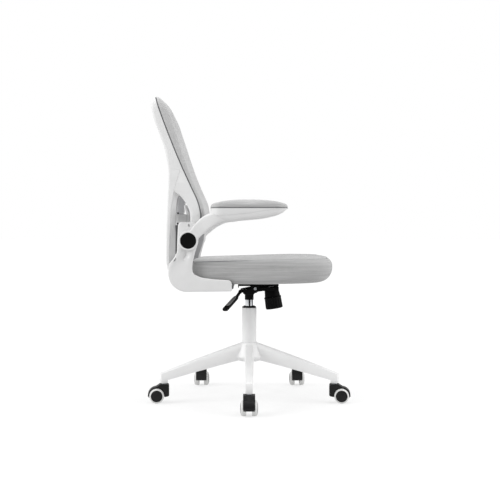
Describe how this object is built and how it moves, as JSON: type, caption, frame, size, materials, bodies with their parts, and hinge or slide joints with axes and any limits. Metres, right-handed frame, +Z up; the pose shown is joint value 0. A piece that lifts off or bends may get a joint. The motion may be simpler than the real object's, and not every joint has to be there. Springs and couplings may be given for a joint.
{
  "type": "task chair",
  "caption": "Swivel task chair with a mesh back on a white frame, a grey fabric seat, flip-up padded arms, a tilt mechanism, a gas lift and a five-leg base on twin-wheel casters.",
  "frame": {"origin": "On the floor, under the middle of the chair's own box. The column stands at x = 0, a little to the left (+Y) of the middle, because one leg points straight to the right.", "axes": "+X is the front of the seat, +Y is the sitter's left, +Z is up. The picture looks along +Y at the chair's right side."},
  "size_m": [0.68, 0.6716, 1.01],
  "materials": {
    "white_plastic": "satin",
    "white_paint": "satin",
    "black_plastic": "satin",
    "black_paint": "satin",
    "chrome": "polished",
    "zinc_steel": "satin",
    "grey_fabric": "matte",
    "grey_mesh": "matte",
    "white_tread": "matte"
  },
  "bodies": {
    "base": {"base_star": "white_plastic", "column_tube": "white_paint", "column_bush": "black_plastic", "piston_rod": "zinc_steel", "piston_clip": "zinc_steel"},
    "gas_lift": {"gas_cylinder": "chrome"},
    "mechanism": {"tilt_housing": "black_paint", "tilt_pin": "zinc_steel", "tension_spring": "zinc_steel", "tension_bolt": "zinc_steel"},
    "knob": {"tension_knob": "black_plastic"},
    "lever_pivot": {"lever_collar": "black_paint"},
    "lever": {"lever_rod": "black_paint", "lever_paddle": "black_plastic"},
    "seat": {"seat_plate": "black_paint", "seat_pan": "black_plastic", "seat_cushion": "grey_fabric", "cross_bar_front": "black_paint", "cross_bar_rear": "black_paint", "arm_bracket_right": "white_plastic", "arm_bracket_left": "white_plastic", "back_frame": "white_plastic", "mesh_hoop": "black_plastic", "back_mesh": "grey_mesh", "pivot_bolt_right": "zinc_steel", "pivot_bolt_left": "zinc_steel"},
    "lumbar": {"lumbar_bar": "white_plastic", "lumbar_pad": "white_plastic"},
    "arm_right": {"armrest_shell_right": "white_plastic", "armrest_pad_right": "grey_fabric", "pivot_cap_right": "black_plastic"},
    "arm_left": {"armrest_shell_left": "white_plastic", "armrest_pad_left": "grey_fabric", "pivot_cap_left": "black_plastic"},
    "caster_1": {"caster_stem_1": "zinc_steel", "caster_hood_1": "black_plastic", "caster_axle_1": "zinc_steel"},
    "wheel_1a": {"caster_wheel_1a": "white_tread"},
    "wheel_1b": {"caster_wheel_1b": "white_tread"},
    "caster_2": {"caster_stem_2": "zinc_steel", "caster_hood_2": "black_plastic", "caster_axle_2": "zinc_steel"},
    "wheel_2a": {"caster_wheel_2a": "white_tread"},
    "wheel_2b": {"caster_wheel_2b": "white_tread"},
    "caster_3": {"caster_stem_3": "zinc_steel", "caster_hood_3": "black_plastic", "caster_axle_3": "zinc_steel"},
    "wheel_3a": {"caster_wheel_3a": "white_tread"},
    "wheel_3b": {"caster_wheel_3b": "white_tread"},
    "caster_4": {"caster_stem_4": "zinc_steel", "caster_hood_4": "black_plastic", "caster_axle_4": "zinc_steel"},
    "wheel_4a": {"caster_wheel_4a": "white_tread"},
    "wheel_4b": {"caster_wheel_4b": "white_tread"},
    "caster_5": {"caster_stem_5": "zinc_steel", "caster_hood_5": "black_plastic", "caster_axle_5": "zinc_steel"},
    "wheel_5a": {"caster_wheel_5a": "white_tread"},
    "wheel_5b": {"caster_wheel_5b": "white_tread"}
  },
  "joints": [
    {"name": "seat_lift", "type": "slide", "parent": "base", "child": "gas_lift", "axis": [0, 0, 1], "range_m": [0, 0.1]},
    {"name": "seat_swivel", "type": "hinge", "parent": "gas_lift", "child": "mechanism", "pos_m": [0, 0.01746, 0.338], "axis": [0, 0, 1], "continuous": true},
    {"name": "seat_tilt", "type": "hinge", "parent": "mechanism", "child": "seat", "pos_m": [0.0205, 0.01746, 0.379], "axis": [0, -1, 0], "range_deg": [0, 12], "stiffness_Nm_per_rad": 70, "springref_deg": -20.05},
    {"name": "tension_turn", "type": "hinge", "parent": "mechanism", "child": "knob", "pos_m": [0.08, 0.01746, 0.349], "axis": [-0.1564, 0, 0.9877], "range_deg": [-720, 720]},
    {"name": "lever_lift", "type": "hinge", "parent": "mechanism", "child": "lever_pivot", "pos_m": [-0.03, -0.04144, 0.369], "axis": [-1, 0, 0], "range_deg": [0, 4], "stiffness_Nm_per_rad": 2, "springref_deg": -5.73},
    {"name": "lever_pull", "type": "slide", "parent": "lever_pivot", "child": "lever", "axis": [-0.0845, -0.9941, -0.0676], "range_m": [0, 0.01]},
    {"name": "arm_flip_right", "type": "hinge", "parent": "seat", "child": "arm_right", "pos_m": [-0.192, -0.24884, 0.545], "axis": [0, -1, 0], "range_deg": [0, 90]},
    {"name": "arm_flip_left", "type": "hinge", "parent": "seat", "child": "arm_left", "pos_m": [-0.192, 0.28376, 0.545], "axis": [0, -1, 0], "range_deg": [0, 90]},
    {"name": "lumbar_slide", "type": "slide", "parent": "seat", "child": "lumbar", "axis": [0, 0, -1], "range_m": [0, 0.05]},
    {"name": "caster_swivel_1", "type": "hinge", "parent": "base", "child": "caster_1", "pos_m": [0, -0.28254, 0.065], "axis": [0, 0, 1], "continuous": true},
    {"name": "wheel_spin_1a", "type": "hinge", "parent": "caster_1", "child": "wheel_1a", "pos_m": [0, -0.30654, 0.025], "axis": [1, 0, 0], "continuous": true},
    {"name": "wheel_spin_1b", "type": "hinge", "parent": "caster_1", "child": "wheel_1b", "pos_m": [0, -0.30654, 0.025], "axis": [1, 0, 0], "continuous": true},
    {"name": "caster_swivel_2", "type": "hinge", "parent": "base", "child": "caster_2", "pos_m": [0.28532, -0.07525, 0.065], "axis": [0, 0, 1], "continuous": true},
    {"name": "wheel_spin_2a", "type": "hinge", "parent": "caster_2", "child": "wheel_2a", "pos_m": [0.30923, -0.07734, 0.025], "axis": [0.0872, 0.9962, 0], "continuous": true},
    {"name": "wheel_spin_2b", "type": "hinge", "parent": "caster_2", "child": "wheel_2b", "pos_m": [0.30923, -0.07734, 0.025], "axis": [0.0872, 0.9962, 0], "continuous": true},
    {"name": "caster_swivel_3", "type": "hinge", "parent": "base", "child": "caster_3", "pos_m": [0.17634, 0.26017, 0.065], "axis": [0, 0, 1], "continuous": true},
    {"name": "wheel_spin_3a", "type": "hinge", "parent": "caster_3", "child": "wheel_3a", "pos_m": [0.17634, 0.28417, 0.025], "axis": [-1, 0, 0], "continuous": true},
    {"name": "wheel_spin_3b", "type": "hinge", "parent": "caster_3", "child": "wheel_3b", "pos_m": [0.17634, 0.28417, 0.025], "axis": [-1, 0, 0], "continuous": true},
    {"name": "caster_swivel_4", "type": "hinge", "parent": "base", "child": "caster_4", "pos_m": [-0.17634, 0.26017, 0.065], "axis": [0, 0, 1], "continuous": true},
    {"name": "wheel_spin_4a", "type": "hinge", "parent": "caster_4", "child": "wheel_4a", "pos_m": [-0.17634, 0.28417, 0.025], "axis": [-1, 0, 0], "continuous": true},
    {"name": "wheel_spin_4b", "type": "hinge", "parent": "caster_4", "child": "wheel_4b", "pos_m": [-0.17634, 0.28417, 0.025], "axis": [-1, 0, 0], "continuous": true},
    {"name": "caster_swivel_5", "type": "hinge", "parent": "base", "child": "caster_5", "pos_m": [-0.28532, -0.07525, 0.065], "axis": [0, 0, 1], "continuous": true},
    {"name": "wheel_spin_5a", "type": "hinge", "parent": "caster_5", "child": "wheel_5a", "pos_m": [-0.30923, -0.07734, 0.025], "axis": [0.0872, -0.9962, 0], "continuous": true},
    {"name": "wheel_spin_5b", "type": "hinge", "parent": "caster_5", "child": "wheel_5b", "pos_m": [-0.30923, -0.07734, 0.025], "axis": [0.0872, -0.9962, 0], "continuous": true}
  ]
}
